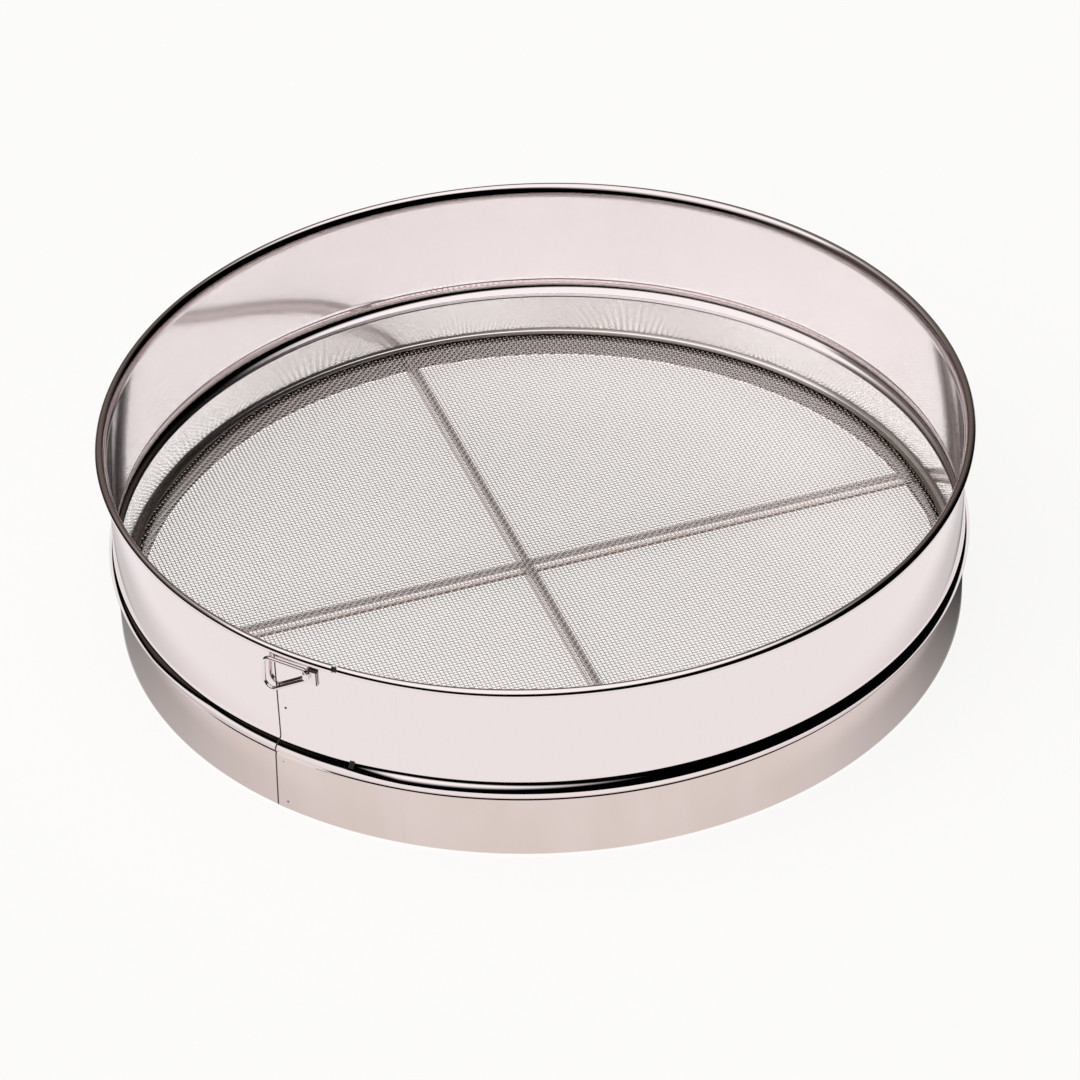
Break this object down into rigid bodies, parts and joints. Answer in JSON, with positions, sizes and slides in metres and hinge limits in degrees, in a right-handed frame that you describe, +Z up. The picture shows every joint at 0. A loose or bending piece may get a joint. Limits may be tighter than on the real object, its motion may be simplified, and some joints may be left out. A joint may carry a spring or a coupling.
{
  "type": "tamis drum sieve",
  "caption": "Shallow stainless drum sieve with a rolled rim, a pressed bead, a woven wire cloth over a support cross, and a swinging wire hanging loop.",
  "frame": {"origin": "centre of the drum's bottom edge, on the plane it stands on", "axes": "+Z up along the drum's axis; -Y towards the front, from which the picture was taken; +X to the right; the hanging loop is at the front left"},
  "size_m": [0.35, 0.35, 0.082],
  "materials": {
    "drum_steel": "polished",
    "core_wire": "dull",
    "hoop_steel": "polished",
    "seat_steel": "satin",
    "cloth_wire": "bright drawn",
    "strip_steel": "satin",
    "hanger_steel": "bright"
  },
  "bodies": {
    "drum": {"drum_shell": "drum_steel", "rim_wire": "core_wire", "retaining_hoop": "hoop_steel", "seat_ring": "seat_steel", "wire_cloth": "cloth_wire", "long_strip": "strip_steel", "lapped_strip": "strip_steel", "hanger_clip": "hanger_steel"},
    "loop": {"hanging_loop": "hanger_steel"}
  },
  "joints": [
    {"name": "loop_swing", "type": "hinge", "parent": "drum", "child": "loop", "pos_m": [-0.08936, -0.14755, 0.0727], "axis": [0, 0, 1], "range_deg": [0, 170]}
  ]
}
